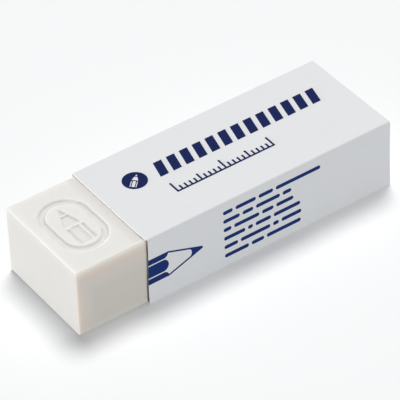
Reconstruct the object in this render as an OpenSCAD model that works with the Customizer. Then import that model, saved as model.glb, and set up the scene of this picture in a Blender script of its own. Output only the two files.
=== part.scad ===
// Vinyl eraser block in a slide-on card sleeve, in millimetres.
// X runs along the block, and its bare end points to -X. The printed side of the sleeve faces -Y.
// The origin is under the middle of the whole, on the surface that the sleeve lies on.

/* [Eraser block] */
// Length of the block
block_l = 64.7; // [55:0.1:80]
// Width of the block
block_w = 21.3; // [18:0.1:28]
// Height of the block
block_h = 13.4; // [11:0.1:18]
// Radius of the two long edges at the block's top
top_edge_r = 0.7; // [0.3:0.05:1.5]
// Radius of the two long edges at the block's base
base_edge_r = 0.3; // [0.2:0.05:1.5]
// Radius of the edges round the block's two ends
end_edge_r = 0.35; // [0.2:0.05:1.5]
// Length of block that stands out of the sleeve
bare_l = 13.8; // [12:0.05:20]
// Depth of the block's covered end inside the sleeve's far mouth
end_setback = 0.3; // [0:0.05:3]

/* [Sunk emblem on the bare end] */
// Depth of the sunk shapes
sunk_depth = 0.35; // [0.15:0.05:0.6]
// Distance from the ring to the block's end, and from the ring to the sleeve
ring_margin_x = 2.4; // [1.5:0.1:3]
// Distance from the ring to the block's long edges
ring_margin_y = 3.6; // [2:0.1:4.5]
// Width of the ring
ring_w = 1.1; // [0.6:0.1:1.4]
// Length of the pencil inside the ring
sunk_pencil_l = 9.6; // [7:0.1:10.5]
// Width of the pencil inside the ring
sunk_pencil_w = 3.3; // [2:0.1:4]
// Width of the raised lines in the sunk pencil
sunk_line = 0.4; // [0.3:0.05:0.5]

/* [Card sleeve] */
// Thickness of the card
card_t = 0.25; // [0.2:0.05:0.5]
// Inner radius of the folds
fold_inner_r = 0.1; // [0.05:0.05:0.4]
// Height of the straight part of the glue flap, inside the side away from the print
flap_h = 8.5; // [5:0.5:10]
// Height of the cut edge above the base, where the outer card ends over the glue flap's fold
seam_h = 0.15; // [0.05:0.05:0.4]
// Clearance between the block and the printed side
gap_side = 0.35; // [0.05:0.05:1]
// Clearance between the block and the glue flap
gap_flap = 0.1; // [0.05:0.05:1]
// Clearance over the block
gap_top = 0.05; // [0.05:0.05:1]
// Clearance under the block
gap_bottom = 0.05; // [0.05:0.05:1]

/* [Print on top] */
// Thickness of the ink
ink_t = 0.04; // [0.02:0.01:0.1]
// Distance from the sleeve's mouth to the printed emblem
emblem_start = 5.25; // [3:0.05:8]
// Diameter of the printed emblem
emblem_d = 4.5; // [3.5:0.1:6]
// Length of the pencil in the printed emblem
emblem_pencil_l = 3.5; // [2.5:0.1:3.6]
// Width of the pencil in the printed emblem
emblem_pencil_w = 1.2; // [0.8:0.1:1.4]
// Width of the inked lines in the printed emblem's pencil
emblem_line = 0.16; // [0.12:0.01:0.2]
// Gap between the printed emblem and the bars
bars_gap = 1.8; // [1:0.1:3]
// Number of bars in the bold row
bar_count = 13; // [7:1:18]
// Height of the bars
bar_h = 3.8; // [2.5:0.1:4.5]
// Gap between two bars, along the row
bar_gap = 1; // [0.4:0.05:1.2]
// Slant of the bars, in degrees
bar_slant = 14; // [0:1:25]
// Distance from the bold row to the sleeve's far mouth
bars_end_margin = 4.8; // [3:0.1:8]
// Distance from the sleeve's middle line to the bold row
bars_above_middle = 1; // [0.5:0.1:3]
// Distance from the sleeve's middle line to the measuring scale's base line
scale_below_middle = 4.1; // [3.5:0.1:6]
// Length of the measuring scale
scale_l = 20; // [10:10:30]
// Height of the scale's longest marks
mark_h = 2.7; // [2:0.1:3]
// Width of the scale's marks and base line
mark_w = 0.35; // [0.25:0.05:0.45]

/* [Print on the side] */
// Length of the pencil's barrel, which runs off the sleeve's mouth
barrel_l = 4.3; // [2:0.05:6]
// Distance from the sleeve's middle height down to the pencil's middle line
pencil_below_middle = 0.2; // [0:0.05:1]
// Width of the pencil
pencil_w = 5.3; // [4:0.1:7]
// Width of the pencil's lines
pencil_line = 0.3; // [0.2:0.05:0.4]
// Distance from the sleeve's mouth to the rows of dashes
rows_start = 15.65; // [14:0.05:20]
// Distance from the highest and the lowest row's middle to the sleeve's edges
rows_margin = 2.3; // [1.5:0.05:3]
// Height of a dash
dash_h = 0.75; // [0.5:0.05:0.9]
// Gap between two dashes in a row
dash_gap = 0.6; // [0.4:0.05:1]

/* [Hidden] */
$fn = 64;

CUT = 1;              // how far a cutting shape runs past what it cuts
CONE_TO_WIDTH = 1.42; // a pencil's cone, from the barrel to where its sides would meet
LEAD_SHARE = 0.37;    // the part of that cone which is lead
TIP_TO_WIDTH = 0.05;  // the radius of its round tip
TIP_STEPS = 8;        // flats round that tip
LEAD_ROUNDNESS = 1.7; // the radius of the lead's rounded base on the side, to half its width there
MIDDLE_FACET = 0.46;  // the middle facet's share of the barrel's width
BULGE_TO_FACET = 0.2; // how far a facet's rounded end bulges, as a share of its width
SCALLOP_TO_FACET = 0.4; // the same for the pencil on the side, whose facets end in scallops
MARK_PITCH = 1;       // the measuring scale is marked in whole millimetres
// Lengths of the dashes in each row on the side, from the highest row to the lowest
ROWS = [
    [2, 4.2, 3, 9.4],
    [3.4, 2.2, 5, 1.8],
    [1.6, 5.2, 2.4, 3.6],
    [4.4, 1, 3.2, 5.6],
    [2.8, 6.2, 1.2, 4.2],
    [5, 2.6, 7.2],
];

whole_l = block_l + end_setback;
block_x = -whole_l / 2;
mouth_x = block_x + bare_l;
sleeve_l = whole_l - bare_l;
sleeve_w = block_w + gap_side + gap_flap + 3 * card_t;
sleeve_h = block_h + gap_top + gap_bottom + 2 * card_t;
fold_r = fold_inner_r + card_t;
near_y = -sleeve_w / 2;
far_y = sleeve_w / 2;
flap_y = far_y - card_t;
block_y = near_y + card_t + gap_side + block_w / 2;
block_z = card_t + gap_bottom;

// A rectangle about the origin with round corners
module rounded_rect(l, w, r) {
    square([l - 2 * r, w], center = true);
    square([l, w - 2 * r], center = true);
    for (sx = [-1, 1], sy = [-1, 1])
        translate([sx * (l / 2 - r), sy * (w / 2 - r)]) circle(r);
}

// A bar's section about the origin, with one radius at its two top corners and one at its base
module bar_section(w, h, top_r, base_r) {
    intersection() {
        translate([0, -h / 2]) rounded_rect(w, 2 * h, top_r);
        translate([0, h / 2]) rounded_rect(w, 2 * h, base_r);
    }
}

// A bar along X about the origin with half-round ends
module round_bar(l, w) {
    square([l - w, w], center = true);
    for (s = [-1, 1])
        translate([s * (l - w) / 2, 0]) circle(w / 2);
}

// A pencil's whole shape along X from the origin, with a barrel w wide and a cone with a round tip
module pencil_shape(barrel_l, w) {
    cone_l = w * CONE_TO_WIDTH;
    tip_r = w * TIP_TO_WIDTH;
    a = atan(w / 2 / cone_l);
    tip = [for (i = [0 : TIP_STEPS]) let (t = (90 - a) * (1 - 2 * i / TIP_STEPS))
        [barrel_l + cone_l - tip_r / sin(a) + tip_r * cos(t), tip_r * sin(t)]];
    polygon(concat([[0, w / 2], [barrel_l, w / 2]], tip, [[barrel_l, -w / 2], [0, -w / 2]]));
}

// One facet of a pencil's barrel, h wide, whose end is rounded and bulges past x = l
module facet(l, h, bulge) {
    round_r = (h * h / 4 + bulge * bulge) / (2 * bulge);
    translate([0, -h / 2]) square([l, h]);
    intersection() {
        translate([l + bulge - round_r, 0]) circle(round_r);
        translate([l - bulge, -h / 2]) square([3 * bulge, h]);
    }
}

// The barrel's three facets side by side, w wide together, with a line's width between them
module facets(l, w, line) {
    middle = w * MIDDLE_FACET;
    outer = (w - middle) / 2 - line;
    facet(l, middle, middle * BULGE_TO_FACET);
    for (s = [-1, 1])
        translate([0, s * (w - outer) / 2]) facet(l, outer, outer * BULGE_TO_FACET);
}

// The same with scalloped ends that reach x = l. Only half of each outer facet is in the barrel.
module scalloped_facets(l, w, line) {
    middle = w * MIDDLE_FACET;
    outer = w - middle - 2 * line;
    for (part = [[0, middle], [w / 2, outer], [-w / 2, outer]]) {
        scallop = part[1] * SCALLOP_TO_FACET;
        translate([0, part[0]]) facet(l - scallop, part[1], scallop);
    }
}

// A pencil along X in ink: scalloped facets, a rounded lead, and a line round the bare cone
module outlined_pencil(barrel_l, w, line) {
    cone_l = w * CONE_TO_WIDTH;
    lead_x = barrel_l + cone_l * (1 - LEAD_SHARE);
    a = atan(w / 2 / cone_l);
    bare_tip_x = barrel_l + cone_l - line / sin(a);
    base_h = (bare_tip_x - barrel_l) * tan(a);
    lead_r = (bare_tip_x - lead_x) * tan(a) * LEAD_ROUNDNESS;
    difference() {
        pencil_shape(barrel_l, w);
        difference() {
            intersection() {
                polygon([[-CUT, base_h], [barrel_l, base_h], [bare_tip_x, 0],
                    [barrel_l, -base_h], [-CUT, -base_h]]);
                union() {
                    translate([-2 * CUT, -w]) square([2 * CUT + lead_x - lead_r, 2 * w]);
                    translate([lead_x - lead_r, 0]) circle(lead_r);
                }
            }
            translate([-2 * CUT, 0]) scalloped_facets(2 * CUT + barrel_l, w, line);
        }
    }
}

// A pencil along X, l long before its tip is rounded, whose cone stands apart from barrel and lead
module filled_pencil(l, w, line) {
    cone_l = w * CONE_TO_WIDTH;
    barrel_l = l - cone_l;
    lead_x = barrel_l + cone_l * (1 - LEAD_SHARE);
    facets(barrel_l - line - w * MIDDLE_FACET * BULGE_TO_FACET, w, line);
    difference() {
        pencil_shape(barrel_l, w);
        translate([-CUT, -w]) square([barrel_l + CUT, 2 * w]);
        translate([lead_x - line / 2, -w]) square([line, 2 * w]);
    }
}

// The sunk emblem, seen from above: a long ring round a pencil that lies across the block
module sunk_emblem() {
    ring_l = block_w - 2 * ring_margin_y;
    ring_across = bare_l - 2 * ring_margin_x;
    rotate(90) {
        difference() {
            round_bar(ring_l, ring_across);
            round_bar(ring_l - 2 * ring_w, ring_across - 2 * ring_w);
        }
        translate([-sunk_pencil_l / 2, 0]) filled_pencil(sunk_pencil_l, sunk_pencil_w, sunk_line);
    }
}

module eraser_block() {
    color("#eceae5") translate([block_x + block_l / 2, block_y, block_z]) difference() {
        intersection() {
            linear_extrude(block_h) rounded_rect(block_l, block_w, end_edge_r);
            translate([0, block_w / 2, block_h / 2]) rotate([90, 0, 0])
                linear_extrude(block_w) rounded_rect(block_l, block_h, end_edge_r);
            translate([-block_l / 2, 0, block_h / 2]) rotate([90, 0, 90])
                linear_extrude(block_l) bar_section(block_w, block_h, top_edge_r, base_edge_r);
        }
        translate([(bare_l - block_l) / 2, 0, block_h - sunk_depth])
            linear_extrude(sunk_depth + CUT) sunk_emblem();
    }
}

// A quarter of a folded corner about its own centre, turned by a degrees from the +Y +Z quarter
module fold(a) {
    rotate(a) intersection() {
        difference() {
            circle(fold_r);
            circle(fold_inner_r);
        }
        square(fold_r + CUT);
    }
}

// The strip of card seen along X: printed side, top, far side, and the base with its glue flap
module card_strip() {
    base_end = flap_y - fold_r;
    translate([near_y, fold_r]) square([card_t, sleeve_h - 2 * fold_r]);
    translate([near_y + fold_r, sleeve_h - fold_r]) fold(90);
    translate([near_y + fold_r, sleeve_h - card_t]) square([sleeve_w - 2 * fold_r, card_t]);
    translate([far_y - fold_r, sleeve_h - fold_r]) fold(0);
    translate([flap_y, seam_h]) square([card_t, sleeve_h - fold_r - seam_h]);
    translate([near_y + fold_r, fold_r]) fold(180);
    translate([near_y + fold_r, 0]) square([base_end - near_y - fold_r, card_t]);
    translate([base_end, fold_r]) fold(270);
    translate([flap_y - card_t, fold_r]) square([card_t, flap_h]);
}

module card_sleeve() {
    color("#e9ebee") translate([mouth_x, 0, 0]) rotate([90, 0, 90])
        linear_extrude(sleeve_l) card_strip();
}

// The printed emblem: an inked disc with a bare pencil across it
module printed_emblem() {
    difference() {
        circle(d = emblem_d);
        rotate(45) translate([-emblem_pencil_l / 2, 0])
            filled_pencil(emblem_pencil_l, emblem_pencil_w, emblem_line);
    }
}

// The bold row: slanted bars that fill the length l
module bold_row(l) {
    lean = bar_h * tan(bar_slant);
    bar_l = (l - lean - (bar_count - 1) * bar_gap) / bar_count;
    for (i = [0 : bar_count - 1])
        translate([i * (bar_l + bar_gap), 0])
            polygon([[0, 0], [bar_l, 0], [bar_l + lean, bar_h], [lean, bar_h]]);
}

// The measuring scale: a mark each millimetre, longer at each fifth and longest at each tenth
module measuring_scale() {
    translate([-mark_w / 2, 0]) square([scale_l + mark_w, mark_w]);
    for (i = [0 : scale_l / MARK_PITCH]) {
        h = i % 10 == 0 ? mark_h : (i % 5 == 0 ? 0.75 * mark_h : 0.5 * mark_h);
        translate([i * MARK_PITCH - mark_w / 2, 0]) square([mark_w, h]);
    }
}

module top_print() {
    bars_x = emblem_start + emblem_d + bars_gap;
    color("#21336e") translate([mouth_x, 0, sleeve_h]) linear_extrude(ink_t) {
        translate([emblem_start + emblem_d / 2, bars_above_middle + bar_h / 2]) printed_emblem();
        translate([bars_x, bars_above_middle]) bold_row(sleeve_l - bars_end_margin - bars_x);
        translate([bars_x + mark_w / 2, -scale_below_middle]) measuring_scale();
    }
}

// One row of dashes with round ends, from the dash numbered i onwards
module dash_row(lengths, i = 0) {
    translate([lengths[i] / 2, 0]) round_bar(lengths[i], dash_h);
    if (i + 1 < len(lengths))
        translate([lengths[i] + dash_gap, 0]) dash_row(lengths, i + 1);
}

module side_print() {
    row_pitch = (sleeve_h - 2 * rows_margin) / (len(ROWS) - 1);
    color("#21336e") translate([mouth_x, near_y, 0]) rotate([90, 0, 0]) linear_extrude(ink_t) {
        translate([0, sleeve_h / 2 - pencil_below_middle]) outlined_pencil(barrel_l, pencil_w, pencil_line);
        for (i = [0 : len(ROWS) - 1])
            translate([rows_start, sleeve_h - rows_margin - i * row_pitch]) dash_row(ROWS[i]);
    }
}

eraser_block();
card_sleeve();
top_print();
side_print();
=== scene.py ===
"""Looks of a vinyl eraser block in its folded card sleeve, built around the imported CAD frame.

The block lies along X with its bare end towards -X. The printed side of the sleeve faces -Y, and Z is up.
Every piece is made in metres in that frame, at the place that the CAD nodes give.
"""

import math

import bmesh
import bpy
from mathutils import Matrix, Vector


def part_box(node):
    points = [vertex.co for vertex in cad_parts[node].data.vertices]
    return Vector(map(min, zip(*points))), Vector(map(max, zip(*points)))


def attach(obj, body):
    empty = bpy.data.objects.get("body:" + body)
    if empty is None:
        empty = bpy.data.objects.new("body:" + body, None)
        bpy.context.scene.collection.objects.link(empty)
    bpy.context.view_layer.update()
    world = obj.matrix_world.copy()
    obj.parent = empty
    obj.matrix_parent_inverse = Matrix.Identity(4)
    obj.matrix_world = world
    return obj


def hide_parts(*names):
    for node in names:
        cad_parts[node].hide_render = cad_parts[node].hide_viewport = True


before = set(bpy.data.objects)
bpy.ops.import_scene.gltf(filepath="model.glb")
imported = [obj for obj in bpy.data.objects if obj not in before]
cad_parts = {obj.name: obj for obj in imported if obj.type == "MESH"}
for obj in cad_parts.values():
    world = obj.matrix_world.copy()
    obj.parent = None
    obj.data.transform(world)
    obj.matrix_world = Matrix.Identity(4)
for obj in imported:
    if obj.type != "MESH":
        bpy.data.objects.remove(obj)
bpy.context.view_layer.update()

MM = 0.001

# ---------------------------------------------------------------- sizes that the CAD source names
SUNK_DEPTH = 0.35 * MM        # the emblem on the bare end
RING_MARGIN_X = 2.4 * MM      # from its ring to the block's end and to the sleeve
RING_MARGIN_Y = 3.6 * MM      # from its ring to the block's long edges
RING_W = 1.1 * MM
PENCIL_L = 9.6 * MM           # the pencil inside the ring
PENCIL_W = 3.3 * MM
PENCIL_LINE = 0.4 * MM        # the raised lines between the pencil's parts
CONE_TO_WIDTH = 1.42          # its cone's length, as a share of its width
LEAD_SHARE = 0.37             # the part of the cone that is lead
MIDDLE_FACET = 0.46           # the middle facet's share of its width
BULGE_TO_FACET = 0.2          # how far a facet's rounded end bulges, as a share of the facet's width
CARD_T = 0.25 * MM
FOLD_R = 0.35 * MM            # outer radius of the card's folds
FLAP_H = 8.5 * MM             # straight part of the glue flap
SEAM_H = 0.15 * MM            # the outer card's cut edge above the base

# ---------------------------------------------------------------- how far real pieces depart from that
WALL_W = 0.5 * MM             # width of the soft walls round the sunk shapes
END_LEAN = 0.3 * MM           # the block's bare end is cut a little off square
WORN_EDGE_R = 0.25 * MM       # radius of the block's near top edge, which is worn the most
CRISP_EDGE_R = 0.12 * MM      # radius of its other edges
BASE_FOLD_R = 0.27 * MM       # the folds that the sleeve lies on are pressed a little sharper
SIDE_BOW = 0.1 * MM           # how far the printed side draws in between its folds
TOP_BOW = 0.04 * MM           # the same on top
BOW_MIDDLE_SHARE = 0.5        # how much of that is left halfway between the sleeve's two mouths
CUT_BEVEL = 0.3 * MM          # how far back the printed side's cut edge is bevelled at the mouth
CUT_EDGE_SHARE = 0.12         # what that bevel leaves of the card's thickness
CUT_BACK = 0.16 * MM          # how far the cut edge lies behind its line, but for the printed side
CUT_SLANT = 0.42 * MM         # how far back it runs towards the top of the printed side
CUT_SLANT_LOW = 1 * MM        # where that slant begins and ends above the base
CUT_SLANT_HIGH = 12 * MM
CUT_SLANT_REACH = 5 * MM      # how far along the sleeve the card takes it up
CARD_EDGE_R = 0.03 * MM       # how far the corners of the card's cut edges are worn

# ---------------------------------------------------------------- how finely the meshes are made
RELIEF_BORDER = 0.5 * MM      # flat margin of the fine grid round the emblem
RELIEF_CUTS = 127             # cuts along each side of that grid
BLOCK_EDGE_PARTS = 6          # strips round an edge of the block
PANEL_PARTS = 8               # strips across a panel of the card
SLEEVE_PARTS = 24             # strips along the sleeve
FOLD_PARTS = 8                # strips round a fold
CARD_EDGE_PARTS = 2           # strips round a corner of the card's cut edge
BLOCK_EDGE_ANGLE = math.radians(45)     # the block's faces turn by more than this only at its edges
CARD_EDGE_ANGLE = math.radians(60)      # the card's faces turn by more than this only at its cut edges
MERGE_DISTANCE = 0.001 * MM

# ---------------------------------------------------------------- painted shade and glow on the vinyl
SIDE_SHADE_REACH = 6 * MM         # how far below its top edges the block's sides reach their full painted shade
SIDE_SHADE_REACH_BY_END = 4.5 * MM    # the same behind its bare end
END_HEAD_START = 0.7 * MM     # how far along that tone already is at the end itself
SIDE_GLOW_AND_SHADE_TINTS = [                # tints of the vinyl's own tone, by the share of that reach: a painted warm glow by the edges, then painted shade
    (0.03, (1.0, 0.98, 0.95)),
    (0.1, (1.05, 0.98, 0.9)),
    (0.18, (0.98, 0.88, 0.8)),
    (0.34, (0.91, 0.82, 0.755)),
    (0.6, (0.865, 0.815, 0.77)),
    (1.0, (0.815, 0.78, 0.735)),
]
SIDE_BLEND = 0.6 * MM         # strip along the long edges in which the top's tone turns into the side's
MOUTH_SHADE_REACH = 2 * MM             # reach of the painted shade on both sides of where the sleeve's mouth edge rests
# tint of that painted shade by the sleeve's mouth edge
MOUTH_SHADE_TINT = (0.86, 0.838, 0.828)

# ---------------------------------------------------------------- light, floor and camera
PLAIN_LIGHT = math.pi         # the light on a face at which a colour renders as it is written
AMBIENT_SHARE = 0.06          # light from all round, as a share of that
FILL_WIDTH = 6                # width of the low fill lights, in degrees
FLOOR_HALF_W = 1.5            # half the floor's width, in metres
FLOOR_TONE = (0.74, 0.743, 0.743)
FLOOR_GLOW = (0.215, 0.22, 0.225)   # the floor's own pale light, which only the camera and gloss see
FLOOR_BOUNCE = 0.1            # how much of the light the floor throws back at the object
CAMERA_AIM = Vector((-1.0, -1.29, 7.17)) * MM
CAMERA_DISTANCE = 491.5 * MM
CAMERA_AZIMUTH = math.radians(-33.13)   # from -Y, towards +X where it is positive
CAMERA_ELEVATION = math.radians(39.87)
CAMERA_ROLL = math.radians(-3.20)
LENS_LENGTH = 258.3           # in millimetres, as the camera's sensor is
SENSOR_W = 36

block_low, block_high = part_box("eraser_block")
sleeve_low, sleeve_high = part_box("card_sleeve")


# ================================================================ mesh helpers
def object_from(name, bm):
    """Turns a finished bmesh into a smooth-shaded object whose place is in its mesh."""
    mesh = bpy.data.meshes.new(name)
    bm.to_mesh(mesh)
    bm.free()
    mesh.shade_smooth()
    piece = bpy.data.objects.new(name, mesh)
    bpy.context.scene.collection.objects.link(piece)
    return piece


def add_modifier(piece, name, kind, **settings):
    modifier = piece.modifiers.new(name, kind)
    for key, value in settings.items():
        setattr(modifier, key, value)


def vertex_rank(item, count):
    """A number that tells one edge or face from the next by its lowest and its highest vertex."""
    indices = [v.index for v in item.verts]
    return min(indices) * count + max(indices)


def put_in_order(bm):
    """Orders edges and faces by their vertices, because an extrusion makes them in no fixed order."""
    bm.verts.index_update()
    count = len(bm.verts)
    for items in (bm.edges, bm.faces):
        items.sort(key=lambda item: vertex_rank(item, count))


def smoothstep(low, high, value):
    """Rises softly from 0 at low to 1 at high."""
    t = min(1.0, max(0.0, (value - low) / (high - low)))
    return t * t * (3 - 2 * t)


# ================================================================ the eraser block
def bar_distance(u, v, length, width):
    """Distance to a bar along u with half-round ends, negative inside."""
    reach = (length - width) / 2
    return math.hypot(u - min(reach, max(-reach, u)), v) - width / 2


def facet_distance(u, v, start, end, width):
    """Distance to one facet of a pencil's barrel, whose far end is rounded, negative inside."""
    bulge = width * BULGE_TO_FACET
    round_r = (width * width / 4 + bulge * bulge) / (2 * bulge)
    rounded_end = math.hypot(max(0.0, u - end - bulge + round_r), v) - round_r
    return max(start - u, abs(v) - width / 2, rounded_end)


def pencil_distance(u, v):
    """Distance to the nearest sunk part of the pencil, which runs along u, negative inside."""
    start = -PENCIL_L / 2
    cone_l = PENCIL_W * CONE_TO_WIDTH
    barrel_end = start + PENCIL_L - cone_l
    lead_start = barrel_end + cone_l * (1 - LEAD_SHARE)
    middle = PENCIL_W * MIDDLE_FACET
    outer = (PENCIL_W - middle) / 2 - PENCIL_LINE
    facet_end = barrel_end - PENCIL_LINE - middle * BULGE_TO_FACET
    slope = math.atan2(PENCIL_W / 2, cone_l)
    cone_side = (abs(v) - (barrel_end + cone_l - u) * math.tan(slope)) * math.cos(slope)
    parts = [facet_distance(u, v, start, facet_end, middle)]
    for side in (-1, 1):
        parts.append(facet_distance(u, v - side * (PENCIL_W - outer) / 2, start, facet_end, outer))
    parts.append(max(barrel_end - u, u - lead_start + PENCIL_LINE / 2, cone_side))
    parts.append(max(lead_start + PENCIL_LINE / 2 - u, cone_side))
    return min(parts)


def sunk_share(u, v, ring_l, ring_across):
    """How deep the emblem is at a point, from 0 on the block's top to 1 on the floor of a sunk shape."""
    ring = max(
        bar_distance(u, v, ring_l, ring_across),
        -bar_distance(u, v, ring_l - 2 * RING_W, ring_across - 2 * RING_W),
    )
    return smoothstep(WALL_W / 2, -WALL_W / 2, min(ring, pencil_distance(u, v)))


def fit_flat_face(bm, face, low, high):
    """Scales and moves a level rectangular face so that it fills the rectangle from low to high."""
    xs = [v.co.x for v in face.verts]
    ys = [v.co.y for v in face.verts]
    here = Vector((min(xs), min(ys), 0))
    grow = Vector(((high.x - low.x) / (max(xs) - here.x), (high.y - low.y) / (max(ys) - here.y), 1))
    bmesh.ops.translate(bm, vec=-here, verts=face.verts)
    bmesh.ops.scale(bm, vec=grow, verts=face.verts)
    bmesh.ops.translate(bm, vec=Vector((low.x, low.y, 0)), verts=face.verts)


def make_eraser_block():
    """A bar with rounded edges, and a fine grid on its bare end that carries the sunk emblem."""
    middle = (block_low + block_high) / 2
    mouth_x = sleeve_low.x
    emblem_x = (block_low.x + mouth_x) / 2
    ring_across = mouth_x - block_low.x - 2 * RING_MARGIN_X
    ring_l = block_high.y - block_low.y - 2 * RING_MARGIN_Y

    bm = bmesh.new()
    bmesh.ops.create_cube(bm, size=1)
    bmesh.ops.scale(bm, vec=block_high - block_low, verts=bm.verts)
    bmesh.ops.translate(bm, vec=middle, verts=bm.verts)
    bare_top = [v for v in bm.verts if v.co.x < mouth_x and v.co.z > middle.z]
    bmesh.ops.translate(bm, vec=Vector((END_LEAN, 0, 0)), verts=bare_top)

    # The width of the inset is of no account, because the inner face is then fitted round the emblem.
    top = max(bm.faces, key=lambda face: face.calc_center_median().z)
    bmesh.ops.inset_individual(bm, faces=[top], thickness=MM, use_even_offset=True)
    half = Vector((ring_across / 2 + RELIEF_BORDER, ring_l / 2 + RELIEF_BORDER, 0))
    centre = Vector((emblem_x, middle.y, 0))
    fit_flat_face(bm, top, centre - half, centre + half)
    bmesh.ops.subdivide_edges(bm, edges=list(top.edges), cuts=RELIEF_CUTS, use_grid_fill=True)

    weights = bm.edges.layers.float.new("bevel_weight_edge")
    for edge in bm.edges:
        if edge.calc_face_angle() < BLOCK_EDGE_ANGLE:
            continue
        first, second = edge.verts[0].co, edge.verts[1].co
        lengthwise = abs(first.x - second.x) > 2 * END_LEAN
        near_top = lengthwise and first.y < middle.y and first.z > middle.z
        edge[weights] = 1.0 if near_top else CRISP_EDGE_R / WORN_EDGE_R

    for vert in bm.verts:
        u = vert.co.y - middle.y
        v = vert.co.x - emblem_x
        on_grid = abs(v) < half.x and abs(u) < half.y and vert.co.z > middle.z
        if on_grid:
            vert.co.z -= SUNK_DEPTH * sunk_share(u, v, ring_l, ring_across)

    block = object_from("vinyl_block", bm)
    add_modifier(
        block, "rounded_edges", "BEVEL",
        width=WORN_EDGE_R, segments=BLOCK_EDGE_PARTS, profile=0.5,
        limit_method="WEIGHT", harden_normals=True,
    )
    return block


# ================================================================ the card sleeve
def bow(point):
    """How far the card at a point has moved.

    The printed side and the top draw in between their folds. The cut edge at the mouth lies back a little.
    """
    near, top = sleeve_low.y, sleeve_high.z
    on_side = 1 - smoothstep(near, near + FOLD_R, point.y)
    by_mouth = max(0.0, 1 - (point.x - sleeve_low.x) / CUT_SLANT_REACH)
    slanted = CUT_SLANT * smoothstep(CUT_SLANT_LOW, CUT_SLANT_HIGH, point.z)
    back = by_mouth * (CUT_BACK + (slanted - CUT_BACK) * on_side)

    along = (point.x - sleeve_low.x) / (sleeve_high.x - sleeve_low.x)
    swell = 1 - (1 - BOW_MIDDLE_SHARE) * (1 - math.cos(2 * math.pi * along)) / 2
    if point.y < near + 2 * CARD_T:
        across = (2 * point.z - sleeve_low.z - top) / (top - sleeve_low.z - 2 * FOLD_R)
        return Vector((back, SIDE_BOW * swell * max(0.0, 1 - across * across), 0))
    if point.z > top - 2 * CARD_T:
        across = (2 * point.y - near - sleeve_high.y) / (sleeve_high.y - near - 2 * FOLD_R)
        return Vector((back, 0, -TOP_BOW * swell * max(0.0, 1 - across * across)))
    return Vector((back, 0, 0))


def draw_straight(bm, vert, y, z):
    """Extends the strip's line from vert to (y, z) in even parts, and returns its new end."""
    step = (Vector((vert.co.x, y, z)) - vert.co) / PANEL_PARTS
    for _ in range(PANEL_PARTS):
        vert = bmesh.ops.extrude_vert_indiv(bm, verts=[vert])["verts"][0]
        bmesh.ops.translate(bm, vec=step, verts=[vert])
    return vert


def draw_fold(bm, vert, y, z):
    """Turns the strip's line a quarter round the centre (y, z), and returns its new end."""
    turned = bmesh.ops.spin(
        bm, geom=[vert], cent=(vert.co.x, y, z), axis=(1, 0, 0),
        angle=math.pi / 2, steps=FOLD_PARTS,
    )
    return turned["geom_last"][0]


def draw_cut_edge(bm):
    """Draws the card's outer line at the mouth, from its cut edge on the plain side to the glue flap."""
    near, far, top = sleeve_low.y, sleeve_high.y, sleeve_high.z
    flap = far - CARD_T
    vert = bmesh.ops.create_vert(bm, co=(sleeve_low.x, far, SEAM_H))["vert"][0]
    vert = draw_straight(bm, vert, far, top - FOLD_R)
    vert = draw_fold(bm, vert, far - FOLD_R, top - FOLD_R)
    vert = draw_straight(bm, vert, near + FOLD_R, top)
    vert = draw_fold(bm, vert, near + FOLD_R, top - FOLD_R)
    vert = draw_straight(bm, vert, near, BASE_FOLD_R)
    vert = draw_fold(bm, vert, near + BASE_FOLD_R, BASE_FOLD_R)
    vert = draw_straight(bm, vert, flap - BASE_FOLD_R, 0)
    vert = draw_fold(bm, vert, flap - BASE_FOLD_R, BASE_FOLD_R)
    draw_straight(bm, vert, flap, FOLD_R + FLAP_H)


def extend_along_sleeve(bm):
    """Draws the cut edge's line out to the far mouth, with a first short step for the bevel of that edge."""
    edges = list(bm.edges)
    even_step = (sleeve_high.x - sleeve_low.x - CUT_BEVEL) / SLEEVE_PARTS
    for step in [CUT_BEVEL] + [even_step] * SLEEVE_PARTS:
        made = bmesh.ops.extrude_edge_only(bm, edges=edges)["geom"]
        moved = [g for g in made if isinstance(g, bmesh.types.BMVert)]
        bmesh.ops.translate(bm, vec=(step, 0, 0), verts=moved)
        edges = [g for g in made if isinstance(g, bmesh.types.BMEdge)]
        edges = [e for e in edges if abs(e.verts[0].co.x - e.verts[1].co.x) < step / 2]


def make_card_sleeve():
    """One strip of card folded round the block and glued along its flap."""
    bm = bmesh.new()
    draw_cut_edge(bm)
    extend_along_sleeve(bm)
    put_in_order(bm)
    bmesh.ops.remove_doubles(bm, verts=bm.verts, dist=MERGE_DISTANCE)
    bmesh.ops.recalc_face_normals(bm, faces=bm.faces)
    topmost = max(bm.faces, key=lambda face: face.calc_center_median().z)
    if topmost.normal.z < 0:
        bmesh.ops.reverse_faces(bm, faces=bm.faces)

    # The card is full thickness all over, but for the bevelled cut edge of the printed side.
    near = sleeve_low.y
    thickness = bm.verts.layers.deform.verify()
    for vert in bm.verts:
        at_mouth = vert.co.x < sleeve_low.x + CUT_BEVEL / 2
        if at_mouth:
            vert[thickness][0] = smoothstep(near + FOLD_R / 2, near + 2 * FOLD_R, vert.co.y)
        else:
            vert[thickness][0] = 1.0
        vert.co += bow(vert.co)

    sleeve = object_from("folded_sleeve", bm)
    sleeve.vertex_groups.new(name="full_thickness")
    add_modifier(
        sleeve, "card_thickness", "SOLIDIFY",
        thickness=CARD_T, offset=-1, material_offset=1, material_offset_rim=1,
        vertex_group="full_thickness", thickness_vertex_group=CUT_EDGE_SHARE,
    )
    add_modifier(
        sleeve, "worn_cut_edges", "BEVEL",
        width=CARD_EDGE_R, segments=CARD_EDGE_PARTS, limit_method="ANGLE", angle_limit=CARD_EDGE_ANGLE,
    )
    add_modifier(sleeve, "flat_panels", "WEIGHTED_NORMAL", keep_sharp=True)
    return sleeve


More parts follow.
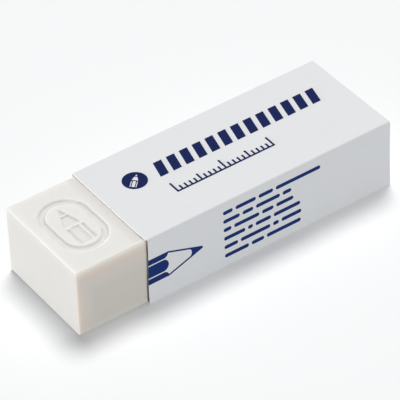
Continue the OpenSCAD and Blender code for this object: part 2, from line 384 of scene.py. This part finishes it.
# ================================================================ the print
def make_print(name, node):
    """The ink of a CAD node, laid on the drawn-in card."""
    bm = bmesh.new()
    bm.from_mesh(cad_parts[node].data)
    bmesh.ops.remove_doubles(bm, verts=bm.verts, dist=MERGE_DISTANCE)
    for vert in bm.verts:
        vert.co += bow(vert.co)
    ink = object_from(name, bm)
    ink.data.shade_flat()
    return ink


# ================================================================ material helpers
def new_material(name, **sockets):
    """A Principled material with these constant values on the shader's own sockets."""
    material = bpy.data.materials.new(name)
    material.use_nodes = True
    shader = material.node_tree.nodes["Principled BSDF"]
    for socket, value in sockets.items():
        shader.inputs[socket.replace("_", " ")].default_value = value
    return material, shader


def add_node(material, kind, **settings):
    """A node with its inputs or properties set, by their names with _ for a space."""
    node = material.node_tree.nodes.new(kind)
    for key, value in settings.items():
        socket = node.inputs.get(key.replace("_", " "))
        if socket is not None:
            socket.default_value = value
        else:
            setattr(node, key, value)
    return node


def link(material, start, end):
    material.node_tree.links.new(start, end)


def feed(material, value, socket):
    """Gives a socket another node's output, a tone or a plain number."""
    if isinstance(value, bpy.types.NodeSocket):
        link(material, value, socket)
    elif isinstance(value, tuple):
        socket.default_value = (*value, 1)
    else:
        socket.default_value = value


def add_noise(material, size, detail=2.0, roughness=0.5):
    """Noise on Object coordinates whose lumps are about size metres across."""
    place = add_node(material, "ShaderNodeTexCoord")
    noise = add_node(material, "ShaderNodeTexNoise", Scale=1 / size, Detail=detail, Roughness=roughness)
    link(material, place.outputs["Object"], noise.inputs["Vector"])
    return noise.outputs["Fac"]


def measure(material, direction, start, reach):
    """How far a point lies along a direction on Object coordinates: 0 at start, 1 where the reach ends."""
    place = add_node(material, "ShaderNodeTexCoord")
    along = add_node(material, "ShaderNodeVectorMath", operation="DOT_PRODUCT")
    along.inputs[1].default_value = direction
    share = add_node(material, "ShaderNodeMapRange", From_Min=start, From_Max=start + reach)
    link(material, place.outputs["Object"], along.inputs[0])
    link(material, along.outputs["Value"], share.inputs["Value"])
    return share.outputs["Result"]


def combine(material, operation, first, second):
    """What a Math node makes of two other nodes' outputs."""
    node = add_node(material, "ShaderNodeMath", operation=operation)
    feed(material, first, node.inputs[0])
    feed(material, second, node.inputs[1])
    return node.outputs["Value"]


def mix_colours(material, share, first, second, blend_type="MIX"):
    """Mixes two colours, each a tone or another node's output."""
    mix = add_node(material, "ShaderNodeMix", data_type="RGBA", blend_type=blend_type)
    share_socket, first_colour, second_colour = mix.inputs[0], mix.inputs[6], mix.inputs[7]
    feed(material, share, share_socket)
    feed(material, first, first_colour)
    feed(material, second, second_colour)
    return mix.outputs[2]


def make_ramp(material, share, stops):
    """A colour ramp through (position, tone) stops."""
    node = add_node(material, "ShaderNodeValToRGB")
    ramp = node.color_ramp
    ramp.interpolation = "EASE"
    while len(ramp.elements) < len(stops):
        ramp.elements.new(1)
    for element, (position, tone) in zip(ramp.elements, stops):
        element.position = position
        element.color = (*tone, 1)
    link(material, share, node.inputs["Fac"])
    return node.outputs["Color"]


def vary_colour(material, shader, dark, light, size, detail):
    """Base colour that drifts between two tones, in patches of about this size."""
    drift = add_noise(material, size, detail)
    link(material, mix_colours(material, drift, dark, light), shader.inputs["Base Color"])


def vary_roughness(material, shader, low, high, size):
    """Roughness that drifts between two values. Noise seldom leaves the range from 0.3 to 0.7."""
    spread = add_node(material, "ShaderNodeMapRange", From_Min=0.3, From_Max=0.7, To_Min=low, To_Max=high)
    link(material, add_noise(material, size), spread.inputs["Value"])
    link(material, spread.outputs["Result"], shader.inputs["Roughness"])


def add_bump(material, shader, height, size, detail, roughness=0.5):
    """A fine grain in the surface, with lumps of about this height and size."""
    bump = add_node(material, "ShaderNodeBump", Distance=height)
    link(material, add_noise(material, size, detail, roughness), bump.inputs["Height"])
    link(material, bump.outputs["Normal"], shader.inputs["Normal"])


# ================================================================ materials
def add_painted_mouth_shade(material, plain_tone):
    """The tone of the block's top, with painted shade along the line where the sleeve's mouth edge rests."""
    before_mouth = measure(material, (1, 0, 0), sleeve_low.x - MOUTH_SHADE_REACH, MOUTH_SHADE_REACH)
    behind_mouth = measure(material, (-1, 0, 0), -sleeve_low.x - MOUTH_SHADE_REACH, MOUTH_SHADE_REACH)
    mouth_shade_share = combine(material, "MINIMUM", before_mouth, behind_mouth)
    return mix_colours(material, mouth_shade_share, plain_tone, MOUTH_SHADE_TINT, "MULTIPLY")


def add_painted_side_shade_and_glow(material, plain_tone):
    """The tone of the block's long sides: painted shade that deepens away from their top edges and the bare
    end, and a painted warm glow close to them.
    """
    below_top = measure(material, (0, 0, -1), -block_high.z, SIDE_SHADE_REACH)
    lean = END_LEAN / (block_high.z - block_low.z)
    end_start = block_low.x - lean * block_low.z - END_HEAD_START
    behind_end = measure(material, (1, 0, -lean), end_start, SIDE_SHADE_REACH_BY_END)
    nearest = combine(material, "MINIMUM", below_top, behind_end)
    return mix_colours(material, 1.0, plain_tone, make_ramp(material, nearest, SIDE_GLOW_AND_SHADE_TINTS), "MULTIPLY")


def find_long_sides(material):
    """A mask that is 1 on the block's two long sides and along their edges, and 0 elsewhere."""
    middle_y = (block_low.y + block_high.y) / 2
    half_w = (block_high.y - block_low.y) / 2
    near_side = measure(material, (0, -1, 0), half_w - middle_y - SIDE_BLEND, SIDE_BLEND / 2)
    far_side = measure(material, (0, 1, 0), half_w + middle_y - SIDE_BLEND, SIDE_BLEND / 2)
    return combine(material, "MAXIMUM", near_side, far_side)


def make_vinyl():
    """Soft white vinyl. Its long sides carry painted shade, with a painted warm glow by their top edges and
    the bare end, where light shines through.
    """
    material, shader = new_material(
        "white_vinyl", IOR=1.5, Specular_IOR_Level=0.4,
        Subsurface_Weight=1.0, Subsurface_Scale=1.4 * MM, Subsurface_Radius=(1, 1, 1),
    )
    drift = add_noise(material, size=4 * MM)
    plain_tone = mix_colours(material, drift, first=(0.75, 0.741, 0.717), second=(0.774, 0.765, 0.741))
    # the top gets painted shade next to the sleeve's mouth edge
    top = add_painted_mouth_shade(material, plain_tone)
    # the long sides get painted shade, with a painted warm glow along their edges
    side = add_painted_side_shade_and_glow(material, plain_tone)
    colour = mix_colours(material, find_long_sides(material), top, side)
    link(material, colour, shader.inputs["Base Color"])
    vary_roughness(material, shader, low=0.5, high=0.6, size=1.5 * MM)
    add_bump(material, shader, height=0.004 * MM, size=0.25 * MM, detail=3)
    return material


def make_coated_card():
    """White card with a smooth, slightly bluish coating."""
    material, shader = new_material("coated_card", IOR=1.5, Specular_IOR_Level=0.2)
    vary_colour(
        material, shader, dark=(0.735, 0.745, 0.757), light=(0.754, 0.764, 0.777), size=2.5 * MM, detail=3,
    )
    vary_roughness(material, shader, low=0.38, high=0.46, size=1 * MM)
    add_bump(material, shader, height=0.003 * MM, size=0.3 * MM, detail=4, roughness=0.6)
    return material


def make_raw_card():
    """The card's fibrous inside and cut edges, which are warmer than its coating."""
    material, shader = new_material("raw_card", IOR=1.5, Specular_IOR_Level=0.2)
    vary_colour(
        material, shader, dark=(0.76, 0.75, 0.70), light=(0.82, 0.81, 0.765), size=0.3 * MM, detail=4,
    )
    vary_roughness(material, shader, low=0.8, high=0.9, size=0.5 * MM)
    add_bump(material, shader, height=0.01 * MM, size=0.15 * MM, detail=4, roughness=0.7)
    return material


def make_ink(name, dark, light):
    """Thin satin ink on the card."""
    material, shader = new_material(name, IOR=1.5, Specular_IOR_Level=0.02)
    vary_colour(material, shader, dark, light, size=0.6 * MM, detail=3)
    vary_roughness(material, shader, low=0.34, high=0.42, size=0.5 * MM)
    add_bump(material, shader, height=0.003 * MM, size=0.3 * MM, detail=4, roughness=0.6)
    return material


# ================================================================ the stage
def add_seen_share(nodes, links):
    """Light Path's share of rays that show the background: from the camera, a gloss or a clear material."""
    path = nodes.new("ShaderNodeLightPath")
    shown = path.outputs["Is Camera Ray"]
    for ray in ("Is Glossy Ray", "Is Transmission Ray"):
        either = nodes.new("ShaderNodeMath")
        either.operation = "MAXIMUM"
        links.new(shown, either.inputs[0])
        links.new(path.outputs[ray], either.inputs[1])
        shown = either.outputs["Value"]
    return shown


def make_floor():
    """A wide pale floor that keeps soft shadows. It is partly pale by itself, so it needs no more light."""
    bm = bmesh.new()
    bmesh.ops.create_grid(bm, x_segments=1, y_segments=1, size=FLOOR_HALF_W)
    floor = object_from("floor", bm)
    material, bounce = new_material("pale_floor", Roughness=1.0, Specular_IOR_Level=0.0)
    bounce.inputs["Base Color"].default_value = (FLOOR_BOUNCE, FLOOR_BOUNCE, FLOOR_BOUNCE, 1)
    matte = add_node(material, "ShaderNodeBsdfDiffuse", Color=(*FLOOR_TONE, 1))
    glow = add_node(material, "ShaderNodeEmission", Color=(*FLOOR_GLOW, 1), Strength=1.0)
    look = add_node(material, "ShaderNodeAddShader")
    link(material, matte.outputs["BSDF"], look.inputs[0])
    link(material, glow.outputs["Emission"], look.inputs[1])
    choice = add_node(material, "ShaderNodeMixShader")
    tree = material.node_tree
    link(material, add_seen_share(tree.nodes, tree.links), choice.inputs["Fac"])
    link(material, bounce.outputs["BSDF"], choice.inputs[1])
    link(material, look.outputs["Shader"], choice.inputs[2])
    link(material, choice.outputs["Shader"], tree.nodes["Material Output"].inputs["Surface"])
    floor.data.materials.append(material)


def make_world():
    """White all round where it is seen, and a weak even light on the object."""
    world = bpy.data.worlds.new("pale_studio")
    world.use_nodes = True
    bpy.context.scene.world = world
    nodes, links = world.node_tree.nodes, world.node_tree.links
    background = nodes["Background"]
    background.inputs["Color"].default_value = (1, 1, 1, 1)
    strength = nodes.new("ShaderNodeMapRange")
    strength.inputs["To Min"].default_value = AMBIENT_SHARE
    strength.inputs["To Max"].default_value = 1
    links.new(add_seen_share(nodes, links), strength.inputs["Value"])
    links.new(strength.outputs["Result"], background.inputs["Strength"])


def make_soft_light(name, azimuth, elevation, width, share, tint=(1, 1, 1)):
    """A wide soft light, far away. Azimuth 0 is +X, and all angles are in degrees.

    Share is what it gives a face turned to it, as a share of the plain light.
    """
    turn, rise = math.radians(azimuth), math.radians(elevation)
    lamp = bpy.data.lights.new(name, "SUN")
    lamp.angle = math.radians(width)
    lamp.energy = share * PLAIN_LIGHT
    lamp.color = tint
    holder = bpy.data.objects.new(name, lamp)
    towards = Vector((math.cos(turn) * math.cos(rise), math.sin(turn) * math.cos(rise), math.sin(rise)))
    holder.rotation_mode = "QUATERNION"
    holder.rotation_quaternion = towards.to_track_quat("Z", "Y")
    bpy.context.scene.collection.objects.link(holder)
    return holder


def light_only(holder, pieces):
    """Keeps a low fill light on these pieces, so that it throws no long faint shadow on the floor.

    It stands for the light that a white table gives back, so the floor doesn't stop it.
    """
    lit = bpy.data.collections.new(holder.name + "_lights")
    for piece in pieces:
        lit.objects.link(piece)
    holder.light_linking.receiver_collection = lit
    holder.light_linking.blocker_collection = lit


def make_camera():
    """A long lens that looks down on the bare end and the printed side."""
    back = Vector((
        math.sin(CAMERA_AZIMUTH) * math.cos(CAMERA_ELEVATION),
        -math.cos(CAMERA_AZIMUTH) * math.cos(CAMERA_ELEVATION),
        math.sin(CAMERA_ELEVATION),
    ))
    lens = bpy.data.cameras.new("camera")
    lens.lens = LENS_LENGTH
    lens.sensor_width = SENSOR_W
    lens.clip_start = 0.05
    lens.clip_end = 20
    camera = bpy.data.objects.new("camera", lens)
    turn = (-back).to_track_quat("-Z", "Y").to_matrix() @ Matrix.Rotation(CAMERA_ROLL, 3, "Z")
    camera.matrix_world = Matrix.Translation(CAMERA_AIM + back * CAMERA_DISTANCE) @ turn.to_4x4()
    bpy.context.scene.collection.objects.link(camera)
    bpy.context.scene.camera = camera


# ================================================================ putting it together
make_camera()
make_world()
make_floor()
make_soft_light("overhead", azimuth=50, elevation=69, width=22, share=0.54)
make_soft_light("overhead_side", azimuth=38, elevation=73, width=31, share=0.415)
low_fills = [
    make_soft_light("end_fill", azimuth=164, elevation=3, width=FILL_WIDTH, share=0.94),
    make_soft_light(
        "side_fill", azimuth=270, elevation=-21, width=FILL_WIDTH, share=0.725, tint=(0.985, 1, 1.015),
    ),
    make_soft_light("far_end_fill", azimuth=2, elevation=-10, width=FILL_WIDTH, share=0.4),
    make_soft_light("far_side_fill", azimuth=88, elevation=-30, width=FILL_WIDTH, share=0.2),
]

vinyl, coated_card, raw_card = make_vinyl(), make_coated_card(), make_raw_card()
top_ink = make_ink("navy_ink", dark=(0.010, 0.0175, 0.085), light=(0.012, 0.020, 0.093))
side_ink = make_ink("bright_navy_ink", dark=(0.0115, 0.032, 0.150), light=(0.0135, 0.036, 0.168))

block = make_eraser_block()
block.data.materials.append(vinyl)
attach(block, "eraser")
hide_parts("eraser_block")

sleeve = make_card_sleeve()
sleeve.data.materials.append(coated_card)
sleeve.data.materials.append(raw_card)
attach(sleeve, "sleeve")
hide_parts("card_sleeve")

pieces = [block, sleeve]
for name, node, ink in (("ink_on_top", "top_print", top_ink), ("ink_on_side", "side_print", side_ink)):
    print_piece = make_print(name, node)
    print_piece.data.materials.append(ink)
    pieces.append(print_piece)
    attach(print_piece, "sleeve")
    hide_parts(node)

for fill in low_fills:
    light_only(fill, pieces)

bpy.context.scene.view_settings.view_transform = "Standard"
